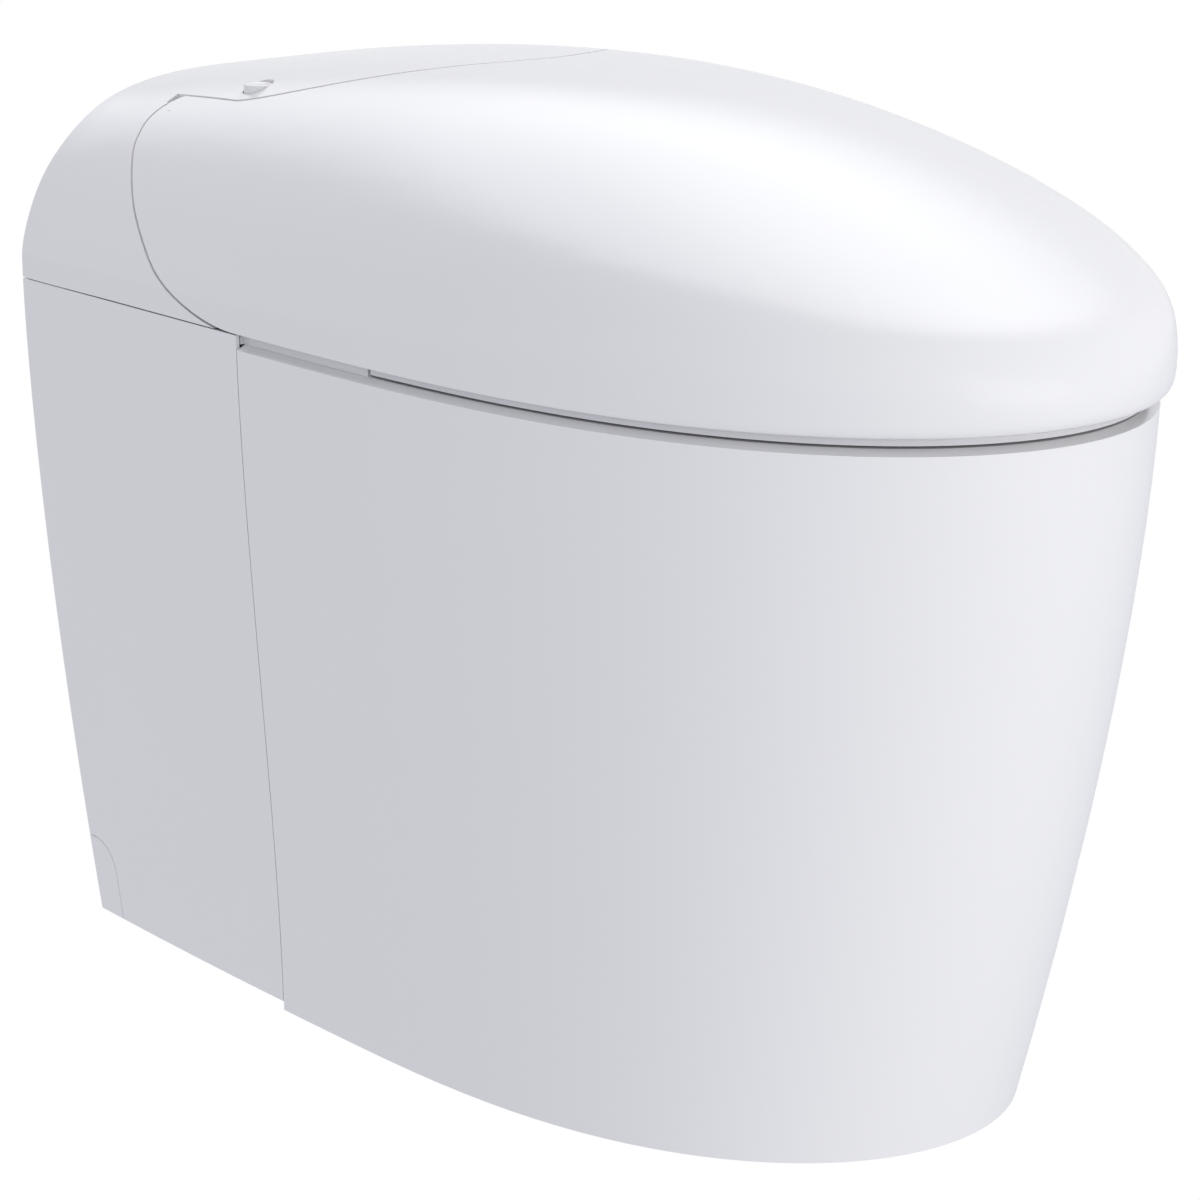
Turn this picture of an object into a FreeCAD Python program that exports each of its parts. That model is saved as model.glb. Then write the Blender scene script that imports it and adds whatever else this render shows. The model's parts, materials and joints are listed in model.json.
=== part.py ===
import FreeCAD, Part
import math
import os
import re
from FreeCAD import Placement, Rotation, Vector

# One-piece toilet with a heated seat, a washing wand and a dryer, +Z up, nose towards -Y.
# The origin is on the floor, half way between the nose of the lid and the flat back.

doc = FreeCAD.newDocument("HeatedSeatToilet")
sheet = doc.addObject("Spreadsheet::Sheet", "Sizes")

driving = {
    # outer form
    "rear_reach": 360.75, "nose_reach": 360.75, "nose_overhang": 11.5,
    "half_width": 207.3, "widest_y": 119.25, "plan_power": 2.93,
    "foot_half_width": 172.2, "foot_nose_length": 348.5, "foot_widest_back": 33.8,
    "foot_power": 2.85, "foot_tail_narrowing": 7.4, "wall_bulge": 1.49,
    "lid_gap": 6.4, "shoulder_rise": 13.1,
    "crown_rise": 134.2, "crown_fall": 59.8, "crown_lean": 19.2, "crown_ahead": 73.5, "crown_span": 400.0,
    "tail_round": 80.0,
    "fullness_rear": 2.06, "fullness_middle": 1.38, "fullness_nose": 1.0,
    "edge_rear": 1.5, "edge_middle": 1.68, "edge_nose": 4.73,
    # seams between the covers
    "cover_gap": 1.5, "panel_gap": 0.8, "seam_from_rear": 231.75, "seam_sweep": 18.0,
    "seam_end_behind": 5.5, "seam_end_below": 13.5, "seam_power": 2.05,
    "tongue_half_width": 131.0, "tongue_straight": 127.5, "tongue_reach": 145.0,
    "lid_axis_from_rear": 75.25, "knuckle_radius": 11.5, "ear_relief": 8.5,
    # ceramic
    "rim_height": 425.0, "rim_chamfer": 3.0, "rim_ledge": 6.0, "ceramic_wall": 12.0, "deck_thickness": 14.0,
    "tail_inset": 14.0, "tail_back_gap": 16.0, "shelf_height": 112.0, "shelf_front": 255.0,
    "bowl_half_width": 132.0, "bowl_half_length": 177.0, "bowl_centre_ahead": 115.0,
    "sump_depth": 260.0, "sump_half_width": 36.0, "sump_half_length": 42.0, "sump_centre_ahead": 142.0,
    "trap_bore": 27.0, "trap_wall": 11.0, "trap_bend": 44.0,
    "trap_dip_ahead": 84.0, "trap_dip_drop": 307.0, "weir_y": 14.0, "weir_drop": 185.0,
    "outlet_y": 69.0, "outlet_turn_height": 196.0, "outlet_end": 30.0,
    # floor fittings
    "flange_radius": 85.0, "flange_thickness": 10.0, "flange_bore": 40.0, "flange_socket": 46.0,
    "socket_wall": 4.0, "socket_height": 44.0, "gasket_height": 12.0,
    "bracket_y": 170.0, "bracket_width": 40.0, "bracket_foot": 34.0, "bracket_rise": 46.0,
    "bracket_thickness": 4.0, "floor_hole": 4.5, "fixing_screw": 3.0,
    # side panels
    "panel_wall": 2.5, "panel_floor_gap": 6.0, "panel_return": 14.0,
    "knockout_width": 28.0, "knockout_height": 53.0, "knockout_corner": 20.0, "knockout_gap": 0.5,
    "clip_width": 16.0, "clip_height": 22.0, "clip_clearance": 0.2,
    # unit on the rim
    "base_plate": 3.0, "base_inset": 6.0, "wing_inset": 3.2, "wing_front": 10.5, "base_front": 86.0,
    "hinge_bay_half_width": 140.5, "cover_wall": 3.0, "frame_rib": 0.7,
    # lid
    "lid_wall": 4.0, "liner_wall": 2.5, "liner_rise": 31.0, "liner_back": 45.0, "lid_pin": 4.0,
    "pin_clearance": 0.05, "lid_pin_inner": 100.0, "lid_pin_reach": 145.0, "bush_wall": 2.0,
    "lid_bumper_height": 2.7, "bumper_radius": 7.0,
    # seat
    "seat_gap": 1.6, "seat_thickness": 25.4, "seat_inset": 5.5, "seat_wall": 3.6,
    "seat_back": 8.0, "seat_axis_y": 70.0, "seat_axis_rise": 24.0, "barrel_radius": 9.5,
    "barrel_half_width": 139.5, "barrel_inner": 62.0, "seat_bridge_back": 48.0,
    "seat_hole_half_width": 108.0, "seat_hole_half_length": 142.0, "seat_hole_centre_ahead": 130.0,
    "seat_edge_radius": 7.0, "seat_base_height": 5.4, "arch_half_width": 48.0, "arch_rise": 16.0,
    "seat_pin": 5.0, "seat_pin_inner": 118.0, "seat_pin_reach": 165.0, "post_width": 14.0, "post_depth": 26.0,
    "heater_thickness": 1.2,
    # wand
    "wand_x": -12.0, "wand_radius": 8.0, "wand_length": 150.0, "wand_slope": 24.0,
    "wand_tip_y": 97.0, "wand_tip_rise": 26.0, "wand_bore": 3.0, "nozzle_length": 22.0,
    "rail_clearance": 0.4, "rail_wall": 3.0,
    "wand_door_rise": 13.8, "wand_door_height": 19.6, "wand_door_half_width": 9.0, "wand_door_ahead": 6.6,
    "door_gap": 0.5,
    # dryer and deodoriser
    "dryer_x": 6.0, "duct_width": 22.0, "duct_height": 16.0, "duct_rise": 15.0, "duct_wall": 1.6,
    "dryer_fan_y": 152.0, "flap_thickness": 1.6, "fan_size": 44.0, "fan_height": 36.0,
    # button
    "button_x": -114.4, "button_y": 234.0, "button_radius": 9.0, "button_ring": 0.6,
    "button_travel": 2.0, "button_proud": 2.0, "button_slant": 4.0, "cup_wall": 1.6, "sleeve_wall": 0.9, "cup_depth": 24.0,
    # rear compartment and electronics
    "tank_left": -140.0, "tank_width": 190.0, "tank_front": 262.0, "tank_depth": 74.0,
    "tank_height": 215.0, "tank_wall": 4.0, "pump_x": 82.0, "pump_y": 286.0, "pump_radius": 24.0,
    "pump_height": 88.0, "flush_pipe": 12.0, "flush_pipe_wall": 2.0, "flush_pipe_drop": 45.0,
    "valve_x": 104.0, "valve_width": 44.0, "valve_front": 302.0, "valve_depth": 40.0, "valve_height": 58.0,
    "inlet_thread": 10.48, "inlet_length": 15.0, "inlet_height": 30.0, "hose_radius": 6.0, "hose_wall": 1.5,
    "hose_run_rise": 16.0, "heater_x": 24.0, "heater_width": 88.0, "heater_front": 216.0,
    "heater_depth": 48.0, "heater_height": 52.0, "board_left": -120.0, "board_width": 84.0,
    "board_front": 210.0, "board_depth": 58.0, "board_thickness": 1.6, "standoff": 7.0,
    "supply_front": 299.0, "supply_depth": 44.0, "supply_height": 42.0, "gland_x": -75.0,
    "gland_rise": 25.0, "gland_bore": 4.0, "gland_wall": 2.5, "bolt_radius": 3.0, "bolt_x": 150.0,
}
for row, (name, number) in enumerate(driving.items(), start=1):
    sheet.set(f"A{row}", name)
    sheet.set(f"B{row}", str(number))
    sheet.setAlias(f"B{row}", name)
# heights that follow the rim
derived = {
    "lid_edge_height": "rim_height + lid_gap",
    "shoulder_height": "rim_height + lid_gap + shoulder_rise",
    "liner_height": "rim_height + liner_rise",
    "seat_bottom": "rim_height + seat_gap",
    "seat_axis_height": "rim_height + seat_axis_rise",
    "arch_height": "rim_height + arch_rise",
    "wand_tip_height": "rim_height + wand_tip_rise",
    "wand_door_low": "rim_height + wand_door_rise",
    "duct_bottom": "rim_height + duct_rise",
    "hose_run_height": "rim_height + hose_run_rise",
    "gland_height": "rim_height + gland_rise",
    "flush_pipe_height": "rim_height - flush_pipe_drop",
    "trap_dip_height": "rim_height - trap_dip_drop",
    "weir_height": "rim_height - weir_drop",
}
for row, (name, formula) in enumerate(derived.items(), start=len(driving) + 1):
    sheet.set(f"A{row}", name)
    sheet.set(f"B{row}", "=" + formula)
    sheet.setAlias(f"B{row}", name)
doc.recompute()


def size(name):
    return float(sheet.get(name))


def bound(text):
    """An expression in the sheet's names, such as lid_wall + 2."""
    return re.sub(r"[a-z]\w*", lambda word: "Sizes." + word.group(0), str(text))


nodes = []


def node(obj, label):
    obj.Label = label
    nodes.append(obj)
    return obj


# ---- outer form -------------------------------------------------------------------------

def rise_share(z):
    """How far up the wall a height is: 0 at the foot, 1 at the lid's edge."""
    return 1 - max(0.0, 1 - z / size("lid_edge_height")) ** size("wall_bulge")


def wall_plan(z, inset):
    """Half width, widest place, nose length, power and tail narrowing of the wall at a height."""
    share = rise_share(z)
    top_nose = size("widest_y") + size("nose_reach") - size("nose_overhang")
    half = size("foot_half_width") + (size("half_width") - size("foot_half_width")) * share - inset
    widest = size("widest_y") - size("foot_widest_back") * (1 - share)
    nose = size("foot_nose_length") + (top_nose - size("foot_nose_length")) * share - inset
    power = size("foot_power") + (size("plan_power") - size("foot_power")) * share
    return half, widest, nose, power, size("foot_tail_narrowing") * (1 - share)


front_angles = [math.radians(7.5 * step) for step in range(25)]


def nose_points(half, widest, nose, power):
    """The round front of a plan, from its widest place at +X past the nose to -X."""
    return [(half * math.cos(a), widest - nose * abs(math.sin(a)) ** (2 / power)) for a in front_angles]


def wall_outline(z, inset, back):
    half, widest, nose, power, narrowing = wall_plan(z, inset)
    tail = []
    for part in (1.0, 0.66, 0.33):
        tail.append((half - narrowing * part ** 2, widest + (back - widest) * part))
    front = nose_points(half, widest, nose, power)
    left = [(-x, y) for x, y in reversed(tail)]
    return [Vector(x, y, z) for x, y in tail + front + left]


def chord_places(points, closed):
    """Curve parameters spaced by the distance between points, so that all rings match."""
    ends = points[1:] + (points[:1] if closed else [])
    lengths = [a.distanceToPoint(b) for a, b in zip(points, ends)]
    places = [0.0]
    for length in lengths:
        places.append(places[-1] + length / sum(lengths))
    return places


def wall_ring(z, inset, back, places):
    points = wall_outline(z, inset, back)
    curve = Part.BSplineCurve()
    curve.interpolate(Points=points, Parameters=places)
    return Part.Wire([curve.toShape(), Part.makeLine(points[-1], points[0])])


def wall_solid(inset, low, high, back):
    """The body's outer form, drawn in by an inset, between two heights and up to a flat back."""
    places = chord_places(wall_outline(low, inset, back), False)
    count = 7
    heights = [low + (high - low) * step / count for step in range(count + 1)]
    return Part.makeLoft([wall_ring(z, inset, back, places) for z in heights], True, False)


def three_point(rear, middle, nose, share):
    return rear * (1 - share) * (1 - 2 * share) + 4 * middle * share * (1 - share) + nose * share * (2 * share - 1)


def dome_height(x, y, inset):
    """Height of the upper form over a place in plan."""
    rear = size("rear_reach")
    half = size("half_width") - inset
    nose = size("widest_y") + size("nose_reach") - inset
    ahead = min(1.0, max(0.0, (size("widest_y") - y) / nose))
    behind = max(0.0, (y - rear) / size("tail_round"))
    reach = min(1.0, (x / half) ** 2 + ahead ** size("plan_power") + behind ** 3)
    share = min(1.0, max(0.0, (rear - y) / (rear + size("nose_reach") - size("nose_overhang"))))
    fullness = three_point(size("fullness_rear"), size("fullness_middle"), size("fullness_nose"), share)
    edge = three_point(size("edge_rear"), size("edge_middle"), size("edge_nose"), share)
    t = (y - size("widest_y") + size("crown_ahead")) / size("crown_span")
    rise = size("crown_rise") - size("crown_fall") * t ** 2 + size("crown_lean") * t ** 3 - inset
    return size("shoulder_height") + rise * (1 - reach ** fullness) ** (1 / edge)


def dome_rim(inset, overhang):
    """Plan of the upper form, closed behind the back so that the back can be cut flat."""
    half = size("half_width") - inset
    widest = size("widest_y")
    nose = widest + size("nose_reach") - size("nose_overhang") + overhang - inset
    rear = size("rear_reach")
    front = nose_points(half, widest, nose, size("plan_power"))
    side = [widest + (rear - widest) * part for part in (0.33, 0.66, 1.0)]
    tail = []
    for step in range(1, 12):
        turn = math.radians(15 * step)
        tail.append((-half * math.cos(turn), rear + size("tail_round") * math.sin(turn) ** (2 / 3)))
    left = [(-half, y) for y in side]
    right = [(half, y) for y in reversed(side)]
    return front + left + tail + right


def dome_rings(inset, bottom):
    edge, shoulder = bottom, size("shoulder_height")
    centre_y = size("widest_y") - 60
    rings = []
    for turn in (90, 60, 30):
        out = size("nose_overhang") * math.cos(math.radians(turn))
        z = shoulder - (shoulder - edge) * math.sin(math.radians(turn))
        rings.append([Vector(x, y, z) for x, y in dome_rim(inset, out)])
    rim = dome_rim(inset, size("nose_overhang"))
    rings.append([Vector(x, y, shoulder) for x, y in rim])
    rows = 13
    columns = []
    for x, y in rim:
        fine = []
        for step in range(81):
            part = math.sin(math.radians(90 * step / 80))
            px, py = x * part, centre_y + (y - centre_y) * part
            fine.append(Vector(px, py, dome_height(px, py, inset)))
        fine[-1].z = shoulder
        places = chord_places(fine, False)
        column = []
        for row in range(1, rows):
            target = row / rows
            spot = max(i for i, place in enumerate(places) if place <= target)
            share = (target - places[spot]) / (places[spot + 1] - places[spot])
            column.append(fine[spot] + (fine[spot + 1] - fine[spot]) * share)
        columns.append(column)
    for row in reversed(range(rows - 1)):
        rings.append([column[row] for column in columns])
    crown = Vector(0, centre_y, dome_height(0, centre_y, inset))
    return rings, crown


def dome_solid(inset, bottom):
    """The upper form that the lid and the rear cover are cut from, drawn in by an inset."""
    rings, crown = dome_rings(inset, bottom)
    places = chord_places(rings[3], True)
    wires = []
    for ring in rings:
        curve = Part.BSplineCurve()
        curve.interpolate(Points=ring, Parameters=places, PeriodicFlag=True)
        wires.append(Part.Wire([curve.toShape()]))
    return Part.makeLoft(wires + [Part.Vertex(crown)], True, False)


def place_on(obj, x, y, z):
    for axis, text in zip("xyz", (x, y, z)):
        obj.setExpression("Placement.Base." + axis, bound(text))
    return obj


def block(name, x0, x1, y0, y1, z0, z1):
    """A box between two places on each axis, each given as an expression."""
    obj = doc.addObject("Part::Box", name)
    for prop, low, high in (("Length", x0, x1), ("Width", y0, y1), ("Height", z0, z1)):
        obj.setExpression(prop, bound(f"({high}) - ({low})"))
    return place_on(obj, x0, y0, z0)


turns = {
    "x": Rotation(Vector(0, 1, 0), 90),
    "y": Rotation(Vector(1, 0, 0), -90),
    "z": Rotation(),
}


def rod(name, axis, radius, length, x, y, z):
    """A round bar that starts at a place and runs along an axis."""
    obj = doc.addObject("Part::Cylinder", name)
    obj.Placement = Placement(Vector(), turns[axis])
    obj.setExpression("Radius", bound(radius))
    obj.setExpression("Height", bound(length))
    return place_on(obj, x, y, z)


def fuse(name, *parts):
    obj = doc.addObject("Part::MultiFuse", name)
    obj.Shapes = list(parts)
    return obj


def cut(name, base, *tools):
    obj = doc.addObject("Part::Cut", name)
    obj.Base = base
    obj.Tool = tools[0] if len(tools) == 1 else fuse(name + "Tools", *tools)
    return obj


def group(name, *parts):
    obj = doc.addObject("Part::Compound", name)
    obj.Links = list(parts)
    return obj


def mirrored(name, source):
    obj = doc.addObject("Part::Mirroring", name)
    obj.Source = source
    obj.Normal = Vector(1, 0, 0)
    return obj


def shaped(name, shape):
    """A piece whose free-form shape is worked out from the sheet."""
    obj = doc.addObject("Part::Feature", name)
    obj.Shape = shape
    return obj


def span(x0, x1, y0, y1, z0, z1):
    return Part.makeBox(x1 - x0, y1 - y0, z1 - z0, Vector(x0, y0, z0))


# ---- seams that part the covers ------------------------------------------------------------

rear = size("rear_reach")
gap = size("cover_gap")
cover_wall = size("cover_wall")
lid_axis_y = rear - size("lid_axis_from_rear")
knuckle = size("knuckle_radius")
lid_axis_z = dome_height(size("tongue_half_width"), lid_axis_y, 0) - knuckle
seam_y = rear - size("seam_from_rear")
edge_z = size("lid_edge_height")
panel_top = edge_z - size("panel_gap")
rim_z = size("rim_height")
reach = 2 * rear


def prism(curve, corners, way):
    """A curve closed through corner points and drawn out along a way."""
    start, end = curve.StartPoint, curve.EndPoint
    path = [end] + corners + [start]
    lines = [Part.makeLine(a, b) for a, b in zip(path, path[1:])]
    return Part.Face(Part.Wire([curve.toShape()] + lines)).extrude(way)


def panel_seam(shift):
    """Everything behind the seam between the ceramic and the side panels."""
    points = []
    for part in (0.0, 0.1, 0.25, 0.45, 0.7, 1.0):
        y = seam_y + shift + size("seam_sweep") * (1 - part) ** 4
        points.append(Vector(-reach, y, part * edge_z))
    curve = Part.BSplineCurve()
    curve.interpolate(points)
    top, foot = points[-1] + Vector(0, 0, 20), points[0] - Vector(0, 0, 10)
    back = Vector(0, reach - seam_y, 0)
    return prism(curve, [top, top + back, foot + back, foot], Vector(2 * reach, 0, 0))


def lid_seam(offset):
    """Everything behind the lid's side seam, kept back by an offset."""
    turn = knuckle + offset
    run = lid_axis_y + size("seam_end_behind") - seam_y
    rise = lid_axis_z - size("seam_end_below") - edge_z
    power = size("seam_power")
    points = []
    for part in (0.0, 0.08, 0.2, 0.35, 0.5, 0.65, 0.8, 0.92, 1.0):
        slope = power * rise / run * part ** (power - 1)
        away = Vector(0, slope, -1).normalize() * offset
        points.append(Vector(0, seam_y + run * part, edge_z + rise * part ** power) + away)
    bend = math.radians(30)
    points.append(Vector(0, lid_axis_y + turn * math.cos(bend), lid_axis_z - turn * math.sin(bend)))
    curve = Part.BSplineCurve()
    tangents = [Vector(0, 1, 0), Vector(0, math.sin(bend), math.cos(bend))]
    curve.interpolate(Points=points, InitialTangent=tangents[0], FinalTangent=tangents[1])
    side = Vector(0, lid_axis_y + turn, lid_axis_z)
    top = Vector(0, lid_axis_y, lid_axis_z + turn)
    arc = Part.Arc(points[-1], side, top).toShape()
    corners = [top, Vector(0, lid_axis_y, reach), Vector(0, reach, reach), Vector(0, reach, edge_z - 60)]
    corners += [Vector(0, points[0].y, edge_z - 60), points[0]]
    lines = [Part.makeLine(a, b) for a, b in zip(corners, corners[1:])]
    face = Part.Face(Part.Wire([curve.toShape(), arc] + lines))
    face.translate(Vector(-reach, 0, 0))
    return face.extrude(Vector(2 * reach, 0, 0))


def tongue(offset):
    """Plan region of the fixed tongue that the lid is notched round, drawn in by an offset."""
    half = size("tongue_half_width")
    corner_y = rear - size("tongue_straight")
    points = []
    for step in range(17):
        turn = math.radians(180 * step / 16)
        y = corner_y - size("tongue_reach") * abs(math.sin(turn)) ** 1.6
        points.append(Vector(-(half - offset) * math.cos(turn), y + offset, 0))
    curve = Part.BSplineCurve()
    curve.interpolate(points)
    return prism(curve, [Vector(half - offset, reach, 0), Vector(offset - half, reach, 0)], Vector(0, 0, reach))


def edge_prism(inset, low, high, back):
    """The plan of the lid's edge, drawn in by an inset, as an upright prism."""
    half, widest, nose, power, narrowing = wall_plan(edge_z, inset)
    front = [Vector(x, y, low) for x, y in nose_points(half, widest, nose, power)]
    curve = Part.BSplineCurve()
    curve.interpolate(Points=front, InitialTangent=Vector(0, -1, 0), FinalTangent=Vector(0, 1, 0))
    return prism(curve, [Vector(-half, back, low), Vector(half, back, low)], Vector(0, 0, high - low))


def oval_ring(half_width, half_length, centre_y, z):
    points = []
    for step in range(24):
        turn = math.radians(15 * step)
        points.append(Vector(half_width * math.cos(turn), centre_y + half_length * math.sin(turn), z))
    curve = Part.BSplineCurve()
    curve.interpolate(Points=points, PeriodicFlag=True)
    return Part.Wire([curve.toShape()])


def pipe(radius, corners, bends):
    """A round bar along straight runs joined by arcs of the given radii."""
    edges = []
    start = corners[0]
    for before, corner, after, bend in zip(corners, corners[1:], corners[2:], bends):
        inward = (before - corner).normalize()
        outward = (after - corner).normalize()
        half_turn = (math.pi - inward.getAngle(outward)) / 2
        trim = bend * math.tan(half_turn)
        a, b = corner + inward * trim, corner + outward * trim
        middle = corner + (inward + outward).normalize() * (bend / math.cos(half_turn) - bend)
        edges.append(Part.makeLine(start, a))
        edges.append(Part.Arc(a, middle, b).toShape())
        start = b
    edges.append(Part.makeLine(start, corners[-1]))
    profile = Part.Wire(Part.makeCircle(radius, corners[0], corners[1] - corners[0]))
    return Part.Wire(edges).makePipeShell([profile], True, False)


def round_bar(radius, start, end):
    return Part.makeCylinder(radius, (end - start).Length, start, end - start)


# ---- ceramic ---------------------------------------------------------------------------------

def basin(extra, top):
    """The bowl as rings that shrink from the rim to the sump."""
    rings = []
    bottom = rim_z - size("sump_depth") - extra
    for drop, share, ahead in ((0.0, 1.0, 0.0), (0.36, 0.86, 0.26), (0.68, 0.54, 0.74), (0.88, 0.17, 0.93), (1.0, 0.0, 1.0)):
        half = size("sump_half_width") + (size("bowl_half_width") - size("sump_half_width")) * share + extra
        length = size("sump_half_length") + (size("bowl_half_length") - size("sump_half_length")) * share + extra
        centre = -size("bowl_centre_ahead") - (size("sump_centre_ahead") - size("bowl_centre_ahead")) * ahead
        rings.append(oval_ring(half, length, centre, top + (bottom - top) * drop))
    return Part.makeLoft(rings, True, False)


def trap_path(end):
    outlet = size("outlet_y")
    return [
        Vector(0, -size("sump_centre_ahead") - 8, rim_z - size("sump_depth") + 3),
        Vector(0, -size("trap_dip_ahead"), size("trap_dip_height")),
        Vector(0, size("weir_y"), size("weir_height")),
        Vector(0, outlet, size("outlet_turn_height")),
        Vector(0, outlet, end),
    ]


trap_bends = [size("trap_bend")] * 3
basin_outer = basin(size("ceramic_wall"), rim_z)
basin_inner = basin(0, rim_z + 1)
trap_outer = pipe(size("trap_bore") + size("trap_wall"), trap_path(size("outlet_end")), trap_bends)
trap_inner = pipe(size("trap_bore"), trap_path(size("outlet_end") - 1), trap_bends)
tail_back = rear - size("tail_back_gap")
under_deck = rim_z - size("deck_thickness")
flush_start = Vector(size("pump_x"), size("pump_y"), size("shelf_height") + size("pump_height"))
flush_turn = Vector(size("pump_x"), size("pump_y"), size("flush_pipe_height"))
flush_end = Vector(size("pump_x"), 0, size("flush_pipe_height"))
hose_x = size("valve_x") + size("valve_width") / 2
hose_y = size("valve_front") + size("valve_depth") / 2
bolt_spots = [(side * size("bolt_x"), y) for side in (-1, 1) for y in (seam_y + 78, rear - 28)]


def upright(radius, x, y, low, high):
    return Part.makeCylinder(radius, high - low, Vector(x, y, low))


def both_sides(shape):
    return Part.makeCompound([shape, shape.mirror(Vector(), Vector(1, 0, 0))])


def wall_half(z, inset, y):
    half, widest, nose, power, narrowing = wall_plan(z, inset)
    return half - narrowing * ((y - widest) / (rear - widest)) ** 2


bracket_x = wall_half(0, size("tail_inset") + size("ceramic_wall"), size("bracket_y") + size("bracket_width")) - 0.3
screw_start = Vector(bracket_x, size("bracket_y") + size("bracket_width") / 2, size("bracket_rise") - 14)


def ceramic_body():
    wall = size("ceramic_wall")
    low = rim_z - size("rim_chamfer")
    shelf = size("shelf_height")
    web = seam_y - size("panel_gap") / 2 - wall
    foot = wall_solid(0, 0, low, rear)
    places = chord_places(wall_outline(0, 0, rear), False)
    ledge = [Vector(p.x, p.y, rim_z) for p in wall_outline(low, size("rim_ledge"), rear)]
    curve = Part.BSplineCurve()
    curve.interpolate(Points=ledge, Parameters=places)
    top_ring = Part.Wire([curve.toShape(), Part.makeLine(ledge[-1], ledge[0])])
    chamfer = Part.makeLoft([wall_ring(low, 0, rear, places), top_ring], True, True)
    front = foot.fuse(chamfer).cut(panel_seam(-size("panel_gap") / 2))
    tail_inset = size("tail_inset")
    tail = wall_solid(tail_inset, 0, rim_z, tail_back)
    tail = tail.common(span(-reach, reach, web - wall, reach, -1, reach))
    body = front.fuse(tail)
    front_hollow = wall_solid(wall, -1, under_deck, rear).common(span(-reach, reach, -reach, web, -2, reach))
    tail_hollow = wall_solid(tail_inset + wall, -1, under_deck, rear)
    tail_hollow = tail_hollow.common(span(-reach, reach, web - 1, reach, -2, reach))
    plate = span(-reach, reach, size("shelf_front"), tail_back, shelf - wall, shelf)
    plate = plate.common(wall_solid(tail_inset + wall / 2, 0, 2 * shelf, tail_back))
    body = body.cut(front_hollow).cut(tail_hollow).fuse(plate)
    holes = [basin_outer, trap_outer]
    holes.append(upright(size("hose_radius") + 4, hose_x, hose_y, under_deck - 5, rim_z + 5))
    holes += [upright(size("bolt_radius") + 0.3, x, y, under_deck - 5, rim_z + 5) for x, y in bolt_spots]
    holes.append(both_sides(Part.makeCylinder(size("fixing_screw"), 14, screw_start - Vector(4, 0, 0), Vector(1, 0, 0))))
    body = body.cut(holes)
    return max(body.Solids, key=lambda piece: piece.Volume)


jet_way = round_bar(8, flush_end + Vector(0, 30, 0), flush_end - Vector(0, 40, 0))
node(shaped("CeramicBody", ceramic_body()), "ceramic_body")
node(shaped("CeramicBasin", basin_outer.cut([basin_inner, trap_inner, jet_way])), "ceramic_basin")
trapway = trap_outer.cut(basin_outer).cut([trap_inner, basin_inner])
node(shaped("Trapway", max(trapway.Solids, key=lambda piece: piece.Volume)), "ceramic_trapway")


# ---- floor fittings ----------------------------------------------------------------------------

outlet = "outlet_y"
plate = rod("FlangePlate", "z", "flange_radius", "flange_thickness", "0", outlet, "0")
socket = rod("FlangeSocket", "z", "flange_socket + socket_wall", "socket_height", "0", outlet, "0")
socket_bore = rod("FlangeSocketBore", "z", "flange_socket", "socket_height", "0", outlet, "flange_thickness")
drain_bore = rod("FlangeBore", "z", "flange_bore", "flange_thickness * 4", "0", outlet, "-flange_thickness")
flange_body = fuse("FlangeBody", plate, socket)
node(cut("Flange", flange_body, socket_bore, drain_bore), "floor_flange")
ring = rod("GasketRing", "z", "flange_socket", "gasket_height", "0", outlet, "outlet_end")
ring_bore = rod("GasketBore", "z", "trap_bore + trap_wall", "gasket_height * 2", "0", outlet, "outlet_end - 1")
node(cut("Gasket", ring, ring_bore), "flange_gasket")

def floor_bracket():
    thick, width, y = size("bracket_thickness"), size("bracket_width"), size("bracket_y")
    foot = span(bracket_x - size("bracket_foot"), bracket_x, y, y + width, 0, thick)
    leg = span(bracket_x - thick, bracket_x, y, y + width, 0, size("bracket_rise"))
    hole = upright(size("floor_hole"), bracket_x - size("bracket_foot") / 2 - thick / 2, y + width / 2, -1, thick + 1)
    screw_z = size("bracket_rise") - 14
    screw_hole = Part.makeCylinder(size("fixing_screw"), 20, Vector(bracket_x - 10, y + width / 2, screw_z), Vector(1, 0, 0))
    return foot.fuse(leg).cut([hole, screw_hole]).removeSplitter()


def bracket_screw():
    start = screw_start - Vector(size("bracket_thickness"), 0, 0)
    shank = Part.makeCylinder(size("fixing_screw"), 14, start, Vector(1, 0, 0))
    head = Part.makeCylinder(size("fixing_screw") * 2, 3.5, start - Vector(3.5, 0, 0), Vector(1, 0, 0))
    return shank.fuse(head).removeSplitter()


node(shaped("Brackets", both_sides(floor_bracket())), "floor_brackets")
node(shaped("BracketScrews", both_sides(bracket_screw())), "bracket_screws")


# ---- side panels ---------------------------------------------------------------------------------

def knockout(shrink):
    """The corner low at the back that breaks out for the supply hose."""
    corner = size("knockout_corner")
    y = rear - size("knockout_width") + shrink
    z = size("panel_floor_gap") + size("knockout_height") - shrink
    box = span(-reach, reach, y, reach, 0, z)
    square = span(-reach, reach, y - 1, y + corner, z - corner, z + 1)
    round_corner = Part.makeCylinder(corner, 2 * reach, Vector(-reach, y + corner, z - corner), Vector(1, 0, 0))
    return box.cut(square.cut(round_corner))


def panel_pair():
    low = size("panel_floor_gap")
    skin = wall_solid(0, 0, panel_top, rear).cut(wall_solid(size("panel_wall"), -1, panel_top + 1, rear + 1))
    slab = span(-reach, reach, rear - size("panel_wall"), rear, low, panel_top)
    flange = wall_solid(0, 0, panel_top, rear).common(slab).cut(wall_solid(size("panel_return"), -1, panel_top + 1, rear + 1))
    both = skin.fuse(flange).common(panel_seam(size("panel_gap") / 2))
    return both.common(span(-reach, reach, -reach, rear, low, panel_top))


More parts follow.
